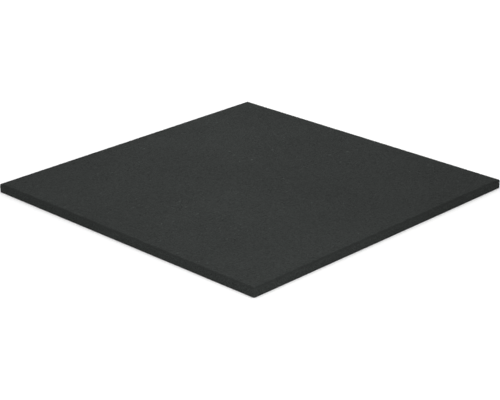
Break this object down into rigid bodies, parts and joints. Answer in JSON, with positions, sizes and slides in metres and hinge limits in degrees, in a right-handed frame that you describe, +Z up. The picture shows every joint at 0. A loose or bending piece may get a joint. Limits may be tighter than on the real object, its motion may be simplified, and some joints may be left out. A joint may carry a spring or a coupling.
{
  "type": "rubber mat",
  "caption": "Square flat mat of pressed rubber crumb with straight upright sides and a softly rounded top rim, laid on a floor as a tile, a protective underlay or a vibration-damping pad.",
  "frame": {"origin": "middle of the underside, on the surface that the mat lies on", "axes": "+Z up, out of the top face; +X and +Y run along the square's sides"},
  "size_m": [0.6, 0.6, 0.015],
  "materials": {
    "rubber_crumb": "matte"
  },
  "bodies": {
    "root": {"rubber_mat": "rubber_crumb"}
  },
  "joints": []
}
